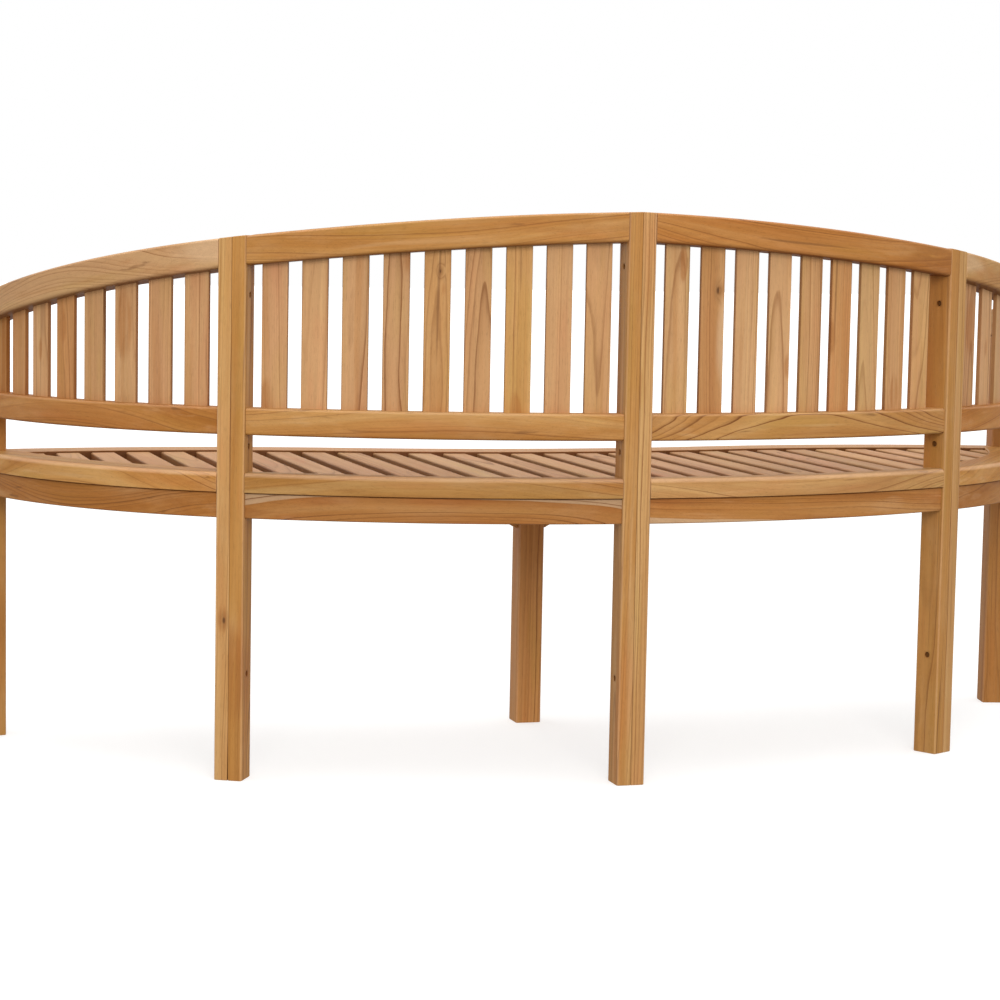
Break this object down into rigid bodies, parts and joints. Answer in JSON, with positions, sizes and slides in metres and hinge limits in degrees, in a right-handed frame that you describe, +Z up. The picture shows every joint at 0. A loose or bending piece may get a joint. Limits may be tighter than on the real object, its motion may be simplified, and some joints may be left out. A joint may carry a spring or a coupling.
{
  "type": "banana bench",
  "caption": "Curved garden bench of solid teak with a slatted banana-shaped seat, a long bowed slatted back that sweeps round into the arms, and straight square legs.",
  "frame": {"origin": "on the ground, under the centre of the overall box", "axes": "+Z up, -Y the way the sitter faces, +X to the sitter's left and along the length of the bench"},
  "size_m": [1.7892, 0.6272, 0.83],
  "materials": {
    "teak_post": "oiled smooth",
    "teak_rail": "oiled smooth",
    "teak_back_slat": "oiled smooth",
    "teak_seat_slat": "sanded, slightly open grain",
    "teak_rim": "oiled smooth",
    "teak_apron": "oiled smooth",
    "teak_frame": "sawn and planed",
    "dowel_wood": "end grain",
    "steel_screw": "plain"
  },
  "bodies": {
    "root": {"centre_rear_post_left_half": "teak_post", "centre_rear_post_right_half": "teak_post", "left_rear_post_inner_half": "teak_post", "left_rear_post_outer_half": "teak_post", "right_rear_post_inner_half": "teak_post", "right_rear_post_outer_half": "teak_post", "centre_front_leg": "teak_post", "left_front_leg": "teak_post", "right_front_leg": "teak_post", "left_top_rail": "teak_rail", "right_top_rail": "teak_rail", "left_arm_rail": "teak_rail", "right_arm_rail": "teak_rail", "left_lower_rail": "teak_rail", "right_lower_rail": "teak_rail", "left_arm_lower_rail": "teak_rail", "right_arm_lower_rail": "teak_rail", "left_back_slats": "teak_back_slat", "right_back_slats": "teak_back_slat", "left_arm_slats": "teak_back_slat", "right_arm_slats": "teak_back_slat", "left_rear_rim": "teak_rim", "right_rear_rim": "teak_rim", "left_arm_rim": "teak_rim", "right_arm_rim": "teak_rim", "left_front_rim": "teak_rim", "right_front_rim": "teak_rim", "left_rear_apron": "teak_apron", "right_rear_apron": "teak_apron", "left_arm_apron": "teak_apron", "right_arm_apron": "teak_apron", "left_front_apron": "teak_apron", "right_front_apron": "teak_apron", "left_rear_cleat": "teak_frame", "right_rear_cleat": "teak_frame", "left_arm_cleat": "teak_frame", "right_arm_cleat": "teak_frame", "left_front_cleat": "teak_frame", "right_front_cleat": "teak_frame", "centre_bearer": "teak_frame", "left_bearer": "teak_frame", "right_bearer": "teak_frame", "left_leg_bracket": "teak_frame", "right_leg_bracket": "teak_frame", "left_seat_slats": "teak_seat_slat", "right_seat_slats": "teak_seat_slat", "left_end_seat_slats": "teak_seat_slat", "right_end_seat_slats": "teak_seat_slat", "top_rail_dowels": "dowel_wood", "lower_rail_dowels": "dowel_wood", "arm_leg_dowels": "dowel_wood", "rim_dowels": "dowel_wood", "apron_dowels": "dowel_wood", "bearer_dowels": "dowel_wood", "post_pins": "dowel_wood", "slat_screws": "steel_screw", "cleat_screws": "steel_screw", "bracket_screws": "steel_screw"}
  },
  "joints": []
}
